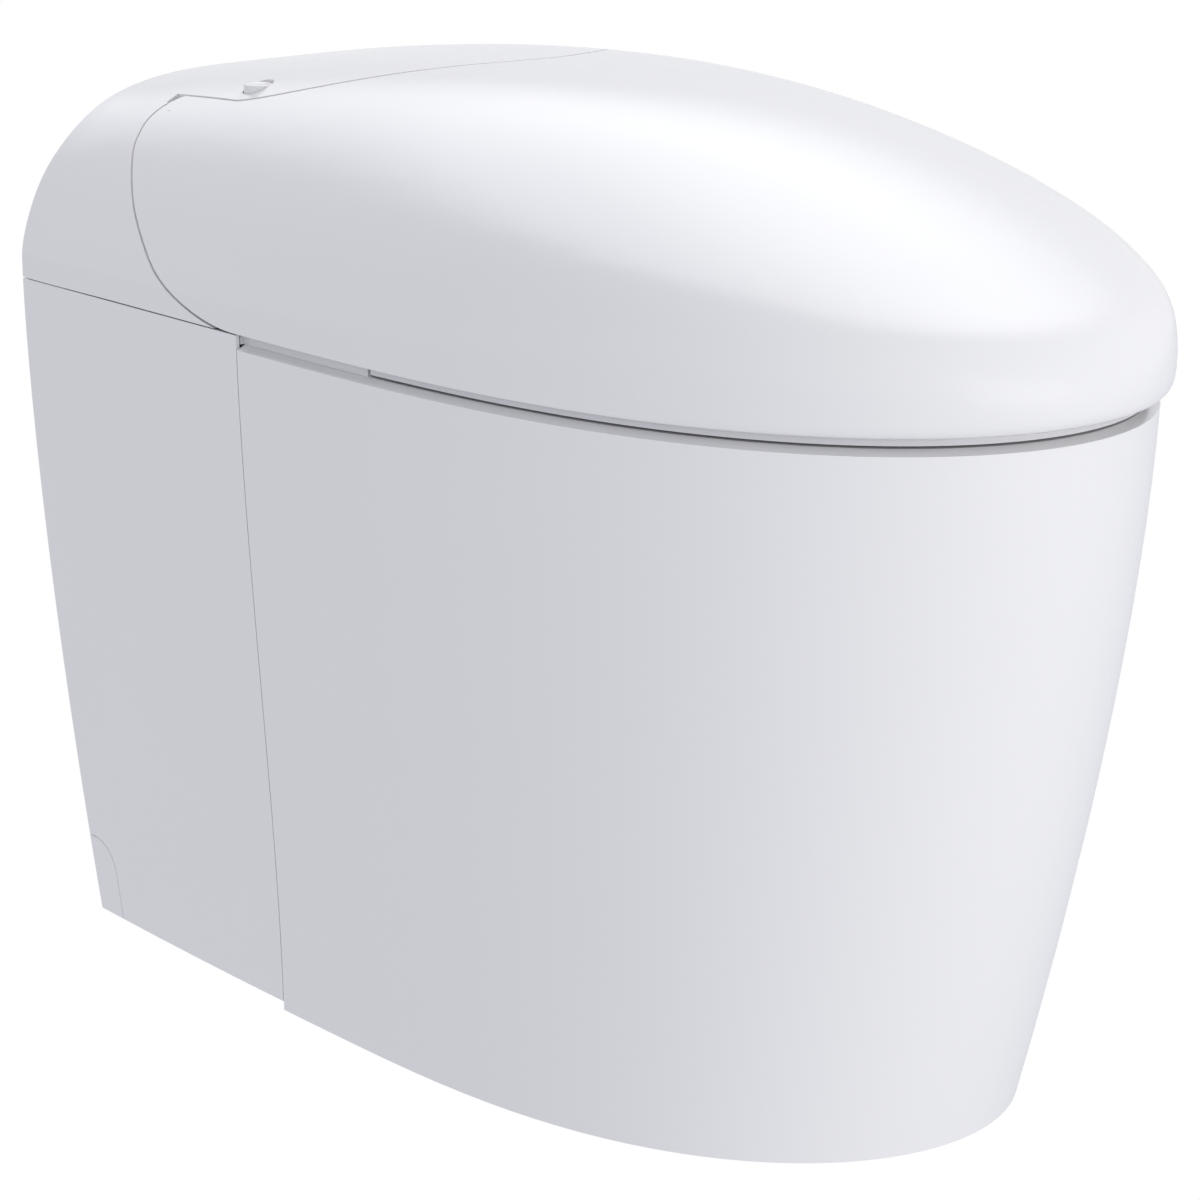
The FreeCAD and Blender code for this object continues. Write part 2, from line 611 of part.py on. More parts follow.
panels = panel_pair()
for side, sign in (("Left", -1), ("Right", 1)):
    half_space = span(min(0, sign * reach), max(0, sign * reach), -reach, reach, -1, reach)
    panel = panels.common(half_space)
    node(shaped(side + "Panel", panel.cut(knockout(0))), side.lower() + "_side_panel")
    node(shaped(side + "Cover", panel.common(knockout(size("knockout_gap")))), side.lower() + "_service_cover")


def panel_clips():
    space = wall_solid(size("panel_wall") + size("clip_clearance"), 0, edge_z, rear)
    space = space.cut(wall_solid(size("tail_inset") - size("clip_clearance"), -1, edge_z + 1, rear + 1))
    wide, tall = size("clip_width"), size("clip_height")
    boxes = []
    for y in (seam_y + 60, rear - 60):
        for share in (0.14, 0.5, 0.9):
            z = share * edge_z
            boxes.append(span(-reach, reach, y - wide / 2, y + wide / 2, z - tall / 2, z + tall / 2))
    return Part.makeCompound([space.common(box) for box in boxes])


node(shaped("PanelClips", panel_clips()), "panel_clips")


# ---- base of the seat unit ---------------------------------------------------------------------

seat_axis_y = size("seat_axis_y")
seat_axis_z = size("seat_axis_height")
post_inner = size("hinge_bay_half_width") + 0.5
running = size("pin_clearance")


def unit_base():
    half = size("hinge_bay_half_width")
    inset = size("base_inset")
    thick = size("base_plate")
    sheet_part = edge_prism(inset, rim_z, rim_z + thick, tail_back)
    sheet_part = sheet_part.common(span(-reach, reach, size("base_front"), tail_back, rim_z, rim_z + thick))
    wing_top = panel_top - size("panel_gap")
    shown = edge_prism(size("seat_inset"), rim_z, wing_top, tail_back)
    shown = shown.common(span(-reach, reach, size("wing_front"), seam_y + 1, rim_z, wing_top))
    covered = edge_prism(size("wing_inset"), rim_z, wing_top, tail_back)
    covered = covered.common(span(-reach, reach, seam_y, seam_y + 40, rim_z, wing_top))
    wings = shown.fuse(covered).cut(span(-half, half, -reach, reach, 0, reach))
    depth = size("post_depth") / 2
    post = span(post_inner, post_inner + size("post_width"), seat_axis_y - depth, seat_axis_y + depth, rim_z, seat_axis_z)
    crown = Part.makeCylinder(depth, size("post_width"), Vector(post_inner, seat_axis_y, seat_axis_z), Vector(1, 0, 0))
    body = sheet_part.fuse([wings, both_sides(post.fuse(crown))])
    pin_way = Part.makeCylinder(size("seat_pin") + running, 2 * reach, Vector(-reach, seat_axis_y, seat_axis_z), Vector(1, 0, 0))
    holes = [upright(size("bolt_radius") + 0.3, x, y, rim_z - 1, rim_z + 9) for x, y in bolt_spots]
    holes.append(upright(size("hose_radius") + 4, hose_x, hose_y, rim_z - 1, rim_z + 9))
    return body.cut([pin_way] + holes).removeSplitter()


def unit_bolts():
    bolts = []
    top = rim_z + size("base_plate")
    for x, y in bolt_spots:
        shank = upright(size("bolt_radius"), x, y, under_deck - 12, top)
        head = upright(size("bolt_radius") * 1.7, x, y, top, top + 4)
        nut = upright(size("bolt_radius") * 1.8, x, y, under_deck - 6, under_deck)
        bolts.append(shank.fuse([head, nut]).removeSplitter())
    return Part.makeCompound(bolts)


node(shaped("UnitBase", unit_base()), "unit_base")
node(shaped("UnitBolts", unit_bolts()), "unit_bolts")


# ---- rear cover with its tongue ------------------------------------------------------------------

dome = dome_solid(0, edge_z)
half_tongue = size("tongue_half_width")
button_x, button_y = size("button_x"), size("button_y")
button_top = dome_height(button_x, button_y, 0) + size("button_proud")
wand_x = size("wand_x")
duct_left, duct_right = size("dryer_x"), size("dryer_x") + size("duct_width")
duct_low, duct_high = size("duct_bottom"), size("duct_bottom") + size("duct_height")
cover_bosses = [(side * x, y) for side in (-1, 1) for x, y in ((62, 132), (120, rear - 11))]


def cover_region(draw_in):
    return lid_seam(gap + draw_in).fuse(tongue(gap + draw_in))


def rear_cover():
    behind = span(-reach, reach, -reach, rear, 0, reach)
    inside = span(-reach, reach, -reach, rear - cover_wall, 0, reach)
    hollow = dome_solid(cover_wall, edge_z - 2).common(cover_region(cover_wall)).common(inside)
    body = dome.common(cover_region(0)).common(behind).cut(hollow)
    inner_dome = dome_solid(cover_wall / 2, rim_z + size("base_plate")).common(inside)
    posts = [upright(5, x, y, rim_z + size("base_plate"), reach).common(inner_dome) for x, y in cover_bosses]
    body = body.fuse(posts)
    low = size("wand_door_low") - size("door_gap")
    high = low + size("wand_door_height") + 2 * size("door_gap")
    half = size("wand_door_half_width") + size("door_gap")
    holes = [span(wand_x - half, wand_x + half, -reach, size("wand_tip_y") + 8, low, high)]
    holes.append(span(duct_left - 0.4, duct_right + 0.4, -reach, size("wand_tip_y") + 12, duct_low - 0.4, duct_high + 0.4))
    holes.append(upright(size("button_radius") + size("button_ring"), button_x, button_y, button_top - 20, reach))
    ear = half_tongue - gap
    relief = span(ear, ear + size("ear_relief"), lid_axis_y, lid_axis_y + knuckle + gap + 0.2, lid_axis_z, reach)
    holes.append(both_sides(relief))
    axis = Vector(-reach, lid_axis_y, lid_axis_z)
    holes.append(Part.makeCylinder(size("lid_pin") + size("bush_wall"), 2 * reach, axis, Vector(1, 0, 0)))
    gland = Vector(size("gland_x"), rear - 10, size("gland_height"))
    holes.append(Part.makeCylinder(size("gland_bore") + size("gland_wall"), 20, gland, Vector(0, 1, 0)))
    return body.cut(holes)


cover = rear_cover()
under_skin = dome_solid(cover_wall + size("frame_rib"), rim_z + size("base_plate"))
node(shaped("RearCover", cover.cut(under_skin)), "rear_cover")
node(shaped("CoverFrame", cover.common(under_skin)), "cover_frame")


# ---- lid -----------------------------------------------------------------------------------------

lid_hollow = dome_solid(size("lid_wall"), edge_z - 2)


def lid_shell():
    axis = Vector(-reach, lid_axis_y, lid_axis_z)
    ears = Part.makeCylinder(knuckle, 2 * reach, axis, Vector(1, 0, 0))
    hollow = lid_hollow.cut(ears)
    body = dome.cut([hollow, lid_seam(0), tongue(0)])
    pin_way = Part.makeCylinder(size("lid_pin"), 2 * size("lid_pin_reach"), Vector(-size("lid_pin_reach"), lid_axis_y, lid_axis_z), Vector(1, 0, 0))
    body = body.cut(pin_way)
    return max(body.Solids, key=lambda piece: piece.Volume)


def lid_liner():
    low, thick = size("liner_height"), size("liner_wall")
    back = size("liner_back")
    tray = lid_hollow.common(span(-reach, reach, -reach, back, low, low + thick))
    upstand = lid_hollow.common(span(-reach, reach, back - thick, back, low, reach))
    return tray.fuse(upstand).removeSplitter()


node(shaped("Lid", lid_shell()), "lid")
node(shaped("LidLiner", lid_liner()), "lid_liner")
pad_spots = [(-150, -40), (150, -40), (-74, -292), (74, -292)]
pads = []
for number, (x, y) in enumerate(pad_spots):
    pads.append(rod(f"LidPad{number}", "z", "bumper_radius", "lid_bumper_height", x, y, "liner_height - lid_bumper_height"))
node(group("LidPads", *pads), "lid_bumpers")

pins = rod("LidPinRight", "x", "lid_pin", "lid_pin_reach - lid_pin_inner", "lid_pin_inner", str(lid_axis_y), str(lid_axis_z))
node(group("LidPins", pins, mirrored("LidPinLeft", pins)), "lid_hinge_pins")


def lid_bushes():
    start = half_tongue - gap - cover_wall
    at = Vector(start - 2, lid_axis_y, lid_axis_z)
    way = Vector(1, 0, 0)
    sleeve = Part.makeCylinder(size("lid_pin") + size("bush_wall"), cover_wall + 2.8, at, way)
    collar = Part.makeCylinder(size("lid_pin") + size("bush_wall") + 2, 2, at, way)
    return both_sides(sleeve.fuse(collar).cut(Part.makeCylinder(size("lid_pin") + running, 30, at - way, way)))


node(shaped("LidBushes", lid_bushes()), "lid_hinge_bushes")


def lid_drive():
    low = rim_z + size("base_plate")
    box = span(60, 120, lid_axis_y - 16, lid_axis_y + 15, lid_axis_z - 34, lid_axis_z + 8)
    legs = [span(x, x + 6, lid_axis_y - 10, lid_axis_y + 10, low, lid_axis_z - 30) for x in (60, 114)]
    bore = Part.makeCylinder(size("lid_pin") + running, 40, Vector(90, lid_axis_y, lid_axis_z), Vector(1, 0, 0))
    return box.fuse(legs).cut(bore).removeSplitter()


def lid_damper():
    low = rim_z + size("base_plate")
    body = Part.makeCylinder(10, 20, Vector(-121, lid_axis_y, lid_axis_z), Vector(1, 0, 0))
    leg = span(-114, -107, lid_axis_y - 6, lid_axis_y + 6, low, lid_axis_z)
    bore = Part.makeCylinder(size("lid_pin") + running, 30, Vector(-130, lid_axis_y, lid_axis_z), Vector(1, 0, 0))
    return body.fuse(leg).cut(bore).removeSplitter()


node(shaped("LidDrive", lid_drive()), "lid_drive")
node(shaped("LidDamper", lid_damper()), "lid_damper")


# ---- seat ----------------------------------------------------------------------------------------

seat_low = size("seat_bottom")
seat_high = seat_low + size("seat_thickness")
seat_split = seat_low + size("seat_base_height")


def seat_block(draw_in, low, high):
    """The seat as one block: round ring in front, a narrower tab behind."""
    half = size("barrel_half_width") - draw_in
    ring_part = edge_prism(size("seat_inset") + draw_in, low, high, rear)
    ring_part = ring_part.common(span(-reach, reach, -reach, size("seat_back") - draw_in, low, high))
    tab = span(-half, half, 0, seat_axis_y - draw_in * 2, low, high)
    inner = size("barrel_inner") + draw_in
    bay = span(-inner, inner, size("seat_bridge_back") - draw_in, seat_axis_y + 20, low - 1, high + 1)
    hole_ring = oval_ring(size("seat_hole_half_width") + draw_in, size("seat_hole_half_length") + draw_in,
                          -size("seat_hole_centre_ahead"), low - 1)
    hole = Part.Face(hole_ring).extrude(Vector(0, 0, high - low + 2))
    return ring_part.fuse(tab).removeSplitter().cut([hole, bay])


def seat_arch(spread):
    half = size("arch_half_width") + spread
    return span(-half, half, size("seat_back") - 4 - spread, seat_axis_y, 0, size("arch_height") + spread)


def top_curves(shape, height):
    """The rounded edges that lie at a height, without the straight ones."""
    level = [edge for edge in shape.Edges if edge.BoundBox.ZMin > height - 0.1]
    return [edge for edge in level if edge.Curve.TypeId != "Part::GeomLine"]


def seat_top():
    wall = size("seat_wall")
    block_part = seat_block(0, seat_split, seat_high)
    soft = block_part.makeFillet(size("seat_edge_radius"), top_curves(block_part, seat_high))
    barrel_from = Vector(size("barrel_inner"), seat_axis_y, seat_axis_z)
    length = size("barrel_half_width") - size("barrel_inner")
    barrel = both_sides(Part.makeCylinder(size("barrel_radius"), length, barrel_from, Vector(1, 0, 0)))
    hollow = seat_block(wall, seat_split - 1, seat_high - wall).cut(seat_arch(wall))
    hollow = hollow.common(span(-reach, reach, -reach, seat_axis_y - 24, 0, reach))
    pin_way = Part.makeCylinder(size("seat_pin"), 2 * reach, Vector(-reach, seat_axis_y, seat_axis_z), Vector(1, 0, 0))
    pin_way = pin_way.cut(span(-size("seat_pin_inner"), size("seat_pin_inner"), -reach, reach, 0, reach))
    return soft.fuse(barrel).cut([hollow, seat_arch(0), pin_way])


def seat_base():
    wall = size("seat_wall")
    plate_part = seat_block(0, seat_low, seat_split).common(span(-reach, reach, -reach, seat_axis_y - 12, 0, reach))
    pocket = seat_block(wall, seat_low + 2.6, seat_split + 1).cut(seat_arch(wall))
    pocket = pocket.common(span(-reach, reach, -reach, seat_axis_y - 24, 0, reach))
    return plate_part.cut([pocket, seat_arch(0)])


def seat_heater():
    inset = size("seat_wall") + 4
    thick = size("heater_thickness")
    top = seat_high - size("seat_wall")
    return seat_block(inset, top - thick, top).common(span(-reach, reach, -reach, 0, 0, reach))


node(shaped("SeatTop", seat_top()), "seat_top")
node(shaped("SeatBase", seat_base()), "seat_base")
node(shaped("SeatHeater", seat_heater()), "seat_heater")
pads = []
for number, (x, y) in enumerate([(-158, -40), (158, -40), (-80, -287), (80, -287)]):
    pads.append(rod(f"SeatPad{number}", "z", "bumper_radius", "seat_bottom - rim_height", x, y, "rim_height"))
node(group("SeatPads", *pads), "seat_bumpers")
pins = rod("SeatPinRight", "x", "seat_pin", "seat_pin_reach - seat_pin_inner", "seat_pin_inner", "seat_axis_y", "seat_axis_height")
node(group("SeatPins", pins, mirrored("SeatPinLeft", pins)), "seat_hinge_pins")

drive_from = "hinge_bay_half_width + post_width + 1"
drive_box = block("SeatDriveBox", drive_from, drive_from + " + 28", "seat_axis_y - 14", "seat_axis_y + 44",
                  "lid_edge_height - panel_gap", "seat_axis_height + 20")
drive_way = rod("SeatDriveWay", "x", "seat_pin + pin_clearance", "28", drive_from + " - 12", "seat_axis_y", "seat_axis_height")
right_drive = cut("SeatDamper", drive_box, drive_way)
node(right_drive, "seat_damper")
node(mirrored("SeatDrive", right_drive), "seat_drive")


# ---- wand ------------------------------------------------------------------------------------------

slope = math.radians(size("wand_slope"))
wand_back = Vector(0, math.cos(slope), math.sin(slope))
wand_up = Vector(0, -math.sin(slope), math.cos(slope))
wand_tip = Vector(wand_x, size("wand_tip_y"), size("wand_tip_height"))


def beam(across, width, along, length, up, height):
    """A box in the wand's own directions: sideways, back along it and square to it."""
    box = span(across, across + width, along, along + length, up, up + height)
    box.rotate(Vector(), Vector(1, 0, 0), size("wand_slope"))
    box.translate(wand_tip)
    return box


def along_wand(distance):
    return wand_tip + wand_back * distance


def wand_tube():
    start = size("nozzle_length")
    tube = round_bar(size("wand_radius"), along_wand(start), along_wand(size("wand_length")))
    return tube.cut(round_bar(size("wand_bore"), along_wand(start - 1), along_wand(size("wand_length") + 1)))


def nozzle():
    radius = size("wand_radius")
    body = round_bar(radius, along_wand(0), along_wand(size("nozzle_length")))
    way = round_bar(size("wand_bore"), along_wand(8), along_wand(size("nozzle_length") + 1))
    jets = [round_bar(0.8, along_wand(at), along_wand(at) + wand_up * (radius + 1)) for at in (9, 12, 15)]
    return body.cut([way] + jets)


def nozzle_cap():
    low, tall, half = size("wand_door_low"), size("wand_door_height"), size("wand_door_half_width")
    front = size("wand_tip_y") - size("wand_door_ahead")
    door = span(wand_x - half, wand_x + half, front, front + cover_wall, low, low + tall)
    stem = round_bar(size("wand_radius") - 3, along_wand(-9), along_wand(0))
    return door.fuse(stem).cut(span(-reach, reach, -reach, front, 0, reach)).removeSplitter()


def wand_rail():
    inner = size("wand_radius") + size("rail_clearance")
    outer = inner + size("rail_wall")
    start, end = 30, size("wand_length") - 4
    tube = round_bar(outer, along_wand(start), along_wand(end)).cut(round_bar(inner, along_wand(start - 1), along_wand(end + 1)))
    base_top = rim_z + size("base_plate")
    legs = []
    for y in (132, 222):
        legs.append(span(wand_x - 6, wand_x + 6, y - 4, y + 4, base_top, base_top + 200))
    clear = round_bar(outer - 1, along_wand(-200), along_wand(400))
    above = beam(-60, 120, -300, 800, 0, 400)
    legs = [leg.cut([clear, above]) for leg in legs]
    slot_part = beam(-3, 6, 60, 200, inner - 1, 20)
    return tube.fuse(legs).cut(slot_part)


def wand_motor():
    side = size("wand_radius") + size("rail_clearance") + size("rail_wall")
    return beam(-side - 20, 20, 96, 32, -10, 24)


node(shaped("Wand", wand_tube()), "wand")
node(shaped("Nozzle", nozzle()), "wand_nozzle")
node(shaped("NozzleCap", nozzle_cap()), "nozzle_cap")
node(shaped("WandRail", wand_rail()), "wand_rail")
node(shaped("WandMotor", wand_motor()), "wand_motor")


# ---- dryer and deodoriser --------------------------------------------------------------------------

flange_y = size("wand_tip_y") - 9.1


def dryer_duct():
    wall = size("duct_wall")
    outer = span(duct_left, duct_right, flange_y, size("dryer_fan_y"), duct_low, duct_high)
    inner = span(duct_left + wall, duct_right - wall, flange_y - 5, size("dryer_fan_y") + 1, duct_low + wall, duct_high - wall)
    flange = span(duct_left - 3, duct_right + 3, flange_y, flange_y + 1.5, duct_low - 2, duct_high + 5.5)
    ears = [span(x, x + 2, flange_y - 3.8, flange_y + 1.5, duct_high - 3, duct_high + 5.5) for x in (duct_left - 3, duct_right + 1)]
    leg = span(duct_left + 4, duct_right - 4, 120, 126, rim_z + size("base_plate"), duct_low + 0.5)
    pin_way = Part.makeCylinder(1.05, 60, Vector(duct_left - 10, flange_y - 1.9, duct_high + 3.4), Vector(1, 0, 0))
    return outer.fuse([flange, leg] + ears).cut([inner, pin_way]).removeSplitter()


def dryer_flap():
    axis = Vector(duct_left - 3, flange_y - 1.9, duct_high + 3.4)
    pin = Part.makeCylinder(1.0, size("duct_width") + 6, axis, Vector(1, 0, 0))
    barrel = Part.makeCylinder(1.6, size("duct_width") + 1.4, axis + Vector(2.3, 0, 0), Vector(1, 0, 0))
    leaf = span(duct_left - 0.7, duct_right + 0.7, flange_y - 0.3 - size("flap_thickness"), flange_y - 0.3, duct_low, duct_high + 3.4)
    return pin.fuse([barrel, leaf]).removeSplitter()


def fan_case(x0, y0, z0, wide, deep, tall):
    case = span(x0, x0 + wide, y0, y0 + deep, z0, z0 + tall)
    mouth = Part.makeCylinder(min(wide, deep) * 0.3, 5, Vector(x0 + wide / 2, y0 + deep / 2, z0 + tall - 4))
    hub = Part.makeCylinder(min(wide, deep) * 0.12, 5, Vector(x0 + wide / 2, y0 + deep / 2, z0 + tall - 5))
    return case.cut(mouth).fuse(hub).removeSplitter()


base_top = rim_z + size("base_plate")
fan = size("fan_size")
node(shaped("DryerDuct", dryer_duct()), "dryer_duct")
node(shaped("DryerFlap", dryer_flap()), "dryer_flap")
node(shaped("DryerFan", fan_case(duct_left, size("dryer_fan_y"), base_top, fan, fan, size("fan_height"))), "dryer_fan")
node(shaped("DeodoriserFan", fan_case(-80, 150, base_top, fan + 4, fan - 4, size("fan_height") - 4)), "deodoriser_fan")
node(block("CarbonFilter", "-78", "-34", "150 + fan_size - 4", "150 + fan_size + 12", "rim_height + base_plate", "rim_height + base_plate + 30"), "carbon_filter")


# ---- electronics and water in the unit -----------------------------------------------------------

base_level = "rim_height + base_plate"
tank_box = block("HeaterBox", "heater_x", "heater_x + heater_width", "heater_front", "heater_front + heater_depth",
                 base_level, base_level + " + heater_height")
tank_lug = rod("HeaterLug", "z", "8", "heater_height + 8", "heater_x + 20", "heater_front + heater_depth / 2", base_level)
node(fuse("WaterHeater", tank_box, tank_lug), "water_heater")
board = block("Board", "board_left", "board_left + board_width", "board_front", "board_front + board_depth",
              base_level + " + standoff", base_level + " + standoff + board_thickness")
stands = [board]
for number, (x, y) in enumerate([("6", "6"), ("board_width - 6", "6"), ("6", "board_depth - 6"), ("board_width - 6", "board_depth - 6")]):
    stands.append(rod(f"Standoff{number}", "z", "3", "standoff", f"board_left + {x}", f"board_front + {y}", base_level))
chip = block("Chip", "board_left + 24", "board_left + 44", "board_front + 20", "board_front + 40",
             base_level + " + standoff + board_thickness", base_level + " + standoff + board_thickness + 3")
node(fuse("ControlBoard", *stands, chip), "control_board")
node(block("PowerSupply", "board_left", "board_left + board_width", "supply_front", "supply_front + supply_depth",
           base_level, base_level + " + supply_height"), "power_supply")
node(block("WashValve", "15", "60", str(hose_y - 17), str(hose_y + 17), base_level, base_level + " + 26"), "wash_valve")


def wash_hose():
    shelf = size("shelf_height")
    level = size("hose_run_height")
    path = [Vector(hose_x, hose_y, shelf + size("valve_height")), Vector(hose_x, hose_y, level), Vector(60, hose_y, level)]
    return pipe(size("hose_radius"), path, [10]).cut(pipe(size("hose_radius") - size("hose_wall"), path, [10]))


def cord_gland():
    at = Vector(size("gland_x"), rear - cover_wall - 6, size("gland_height"))
    way = Vector(0, 1, 0)
    stem = Part.makeCylinder(size("gland_bore") + size("gland_wall"), cover_wall + 6, at, way)
    nut = Part.makeCylinder(size("gland_bore") + size("gland_wall") + 3, 5, at, way)
    return stem.fuse(nut).cut(Part.makeCylinder(size("gland_bore"), 30, at - way * 2, way)).removeSplitter()


node(shaped("WashHose", wash_hose()), "wash_hose")
node(shaped("CordGland", cord_gland()), "cord_gland")


# ---- button ----------------------------------------------------------------------------------------

cup_floor = button_top - size("cup_depth")


def push_button():
    radius = size("button_radius")
    body = upright(radius, button_x, button_y, button_top - 12, button_top + 12)
    slant = span(-40, 40, -40, 40, 0, 40)
    slant.rotate(Vector(), Vector(0, 1, 0), -size("button_slant"))
    slant.translate(Vector(button_x, button_y, button_top))
    body = body.cut(slant)
    body = body.makeFillet(0.8, [edge for edge in body.Edges if edge.BoundBox.ZMin > button_top - 6 and edge.Length > 40])
    stem = upright(2.5, button_x, button_y, cup_floor + 8, button_top - 2)
    skirt = upright(radius - 1.8, button_x, button_y, button_top - 13, button_top - 4.5)
    return body.cut(skirt).fuse(stem).removeSplitter()


def button_cup():
    inner = size("button_radius") + running
    wall = size("cup_wall")
    case = upright(inner + wall, button_x, button_y, cup_floor - wall, reach)
    case = case.common(dome_solid(cover_wall, edge_z - 2)).common(tongue(gap + cover_wall))
    mouth = upright(inner, button_x, button_y, cup_floor, reach)
    return case.cut(mouth)


def button_spring():
    """A soft sleeve that pushes the button back up."""
    outer = size("button_radius") - 2.4
    sleeve = upright(outer, button_x, button_y, cup_floor, button_top - 4.5)
    return sleeve.cut(upright(outer - size("sleeve_wall"), button_x, button_y, cup_floor - 1, button_top))


node(shaped("PushButton", push_button()), "push_button")
node(shaped("ButtonCup", button_cup()), "button_cup")
node(shaped("ButtonSpring", button_spring()), "button_spring")
switch_top = cup_floor + 8 - size("button_travel") - 0.2
node(shaped("ButtonSwitch", span(button_x - 3, button_x + 3, button_y - 3, button_y + 3, cup_floor, switch_top)), "button_switch")


# ---- flush and supply in the rear compartment ----------------------------------------------------

tank_outer = block("TankOuter", "tank_left", "tank_left + tank_width", "tank_front", "tank_front + tank_depth",
                   "shelf_height", "shelf_height + tank_height")
tank_inner = block("TankInner", "tank_left + tank_wall", "tank_left + tank_width - tank_wall", "tank_front + tank_wall",
                   "tank_front + tank_depth - tank_wall", "shelf_height + tank_wall", "shelf_height + tank_height - tank_wall")
tank_neck = rod("TankNeck", "z", "14", "tank_wall * 4", "tank_left + 40", "tank_front + tank_depth / 2", "shelf_height + tank_height - tank_wall * 2")
node(cut("FlushTank", tank_outer, tank_inner, tank_neck), "flush_tank")
pump_can = rod("PumpCan", "z", "pump_radius", "pump_height - 16", "pump_x", "pump_y", "shelf_height")
pump_neck = rod("PumpNeck", "z", "flush_pipe + 3", "pump_height", "pump_x", "pump_y", "shelf_height")
pump_inlet = rod("PumpInlet", "x", "9", "pump_x - tank_left - tank_width", "tank_left + tank_width", "pump_y", "shelf_height + 14")
pump_body = fuse("PumpBody", pump_can, pump_neck, pump_inlet)
pump_way = rod("PumpWay", "z", "flush_pipe - flush_pipe_wall", "12", "pump_x", "pump_y", "shelf_height + pump_height - 10")
node(cut("FlushPump", pump_body, pump_way), "flush_pump")


def flush_pipe():
    path = [flush_start, flush_turn, flush_end]
    outer = pipe(size("flush_pipe"), path, [30]).cut(basin_outer)
    inner = pipe(size("flush_pipe") - size("flush_pipe_wall"), path, [30])
    return max(outer.cut(inner).Solids, key=lambda piece: piece.Volume)


def rim_jet():
    sleeve = round_bar(8, flush_end + Vector(0, 30, 0), flush_end - Vector(0, 40, 0))
    sleeve = sleeve.common(basin_outer).cut(basin(-3, rim_z + 1))
    sleeve = sleeve.cut(round_bar(5.5, flush_end + Vector(0, 60, 0), flush_end - Vector(0, 60, 0)))
    return max(sleeve.Solids, key=lambda piece: piece.CenterOfMass.y)


node(shaped("FlushPipe", flush_pipe()), "flush_pipe")
node(shaped("RimJet", rim_jet()), "rim_jet")
valve_box = block("ValveBox", "valve_x", "valve_x + valve_width", "valve_front", "valve_front + valve_depth",
                  "shelf_height", "shelf_height + valve_height")
valve_way = rod("ValveWay", "z", "hose_radius - hose_wall", "valve_height", "valve_x + valve_width / 2",
                "valve_front + valve_depth / 2", "shelf_height + 10")
node(cut("SupplyValve", valve_box, valve_way), "supply_valve")
inlet_z = "shelf_height + inlet_height"
inlet_x = "valve_x + valve_width / 2"
stub = rod("InletStub", "y", "inlet_thread", "inlet_length", inlet_x, "valve_front + valve_depth", inlet_z)
inlet_way = rod("InletWay", "y", "7", "inlet_length + 2", inlet_x, "valve_front + valve_depth - 1", inlet_z)
node(cut("InletConnector", stub, inlet_way), "inlet_connector")


# ---- checks and files ------------------------------------------------------------------------------

doc.recompute()
for obj in doc.Objects:
    if "Invalid" in obj.State or "Error" in obj.State:
        raise RuntimeError(f"{obj.Name} did not build: {obj.State}")
os.makedirs("parts", exist_ok=True)
for obj in nodes:
    if obj.Shape.isNull() or not obj.Shape.isValid() or obj.Shape.Volume <= 0:
        raise RuntimeError(f"{obj.Label} has no sound shape")
    obj.Shape.exportStep(f"parts/{obj.Label}.step")
print(f"{len(nodes)} parts written")
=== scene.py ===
import bmesh
import bpy
import json
import math
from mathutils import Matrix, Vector


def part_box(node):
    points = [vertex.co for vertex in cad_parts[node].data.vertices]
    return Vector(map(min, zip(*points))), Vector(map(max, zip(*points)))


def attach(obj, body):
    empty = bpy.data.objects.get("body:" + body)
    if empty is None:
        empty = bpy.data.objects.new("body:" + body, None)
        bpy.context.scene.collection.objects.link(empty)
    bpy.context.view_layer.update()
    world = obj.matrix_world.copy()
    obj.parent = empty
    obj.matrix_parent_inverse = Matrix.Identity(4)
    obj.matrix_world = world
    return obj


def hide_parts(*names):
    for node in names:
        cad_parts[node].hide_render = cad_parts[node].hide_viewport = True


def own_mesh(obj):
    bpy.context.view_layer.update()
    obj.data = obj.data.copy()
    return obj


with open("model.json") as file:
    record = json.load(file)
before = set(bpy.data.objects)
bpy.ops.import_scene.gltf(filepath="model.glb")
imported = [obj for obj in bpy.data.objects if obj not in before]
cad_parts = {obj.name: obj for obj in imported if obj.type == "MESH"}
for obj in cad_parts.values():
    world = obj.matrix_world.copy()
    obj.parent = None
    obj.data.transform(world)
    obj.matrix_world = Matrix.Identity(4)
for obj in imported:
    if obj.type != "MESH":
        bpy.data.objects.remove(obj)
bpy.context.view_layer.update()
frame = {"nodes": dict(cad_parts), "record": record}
nodes = frame["nodes"]
print("frame loaded")


def link(tree, source, target):
    tree.links.new(source, target)


def makeMaterial(name):
    material = bpy.data.materials.new(name)
    material.use_nodes = True
    tree = material.node_tree
    return material, tree, tree.nodes["Principled BSDF"]


# Faint waviness, grain and tint that every surface shares; the bump depth is in metres
wearGrain = {
    "broadDetail": 3.0,
    "fineDetail": 2.0,
    "bumpDepth": 0.0004,
}


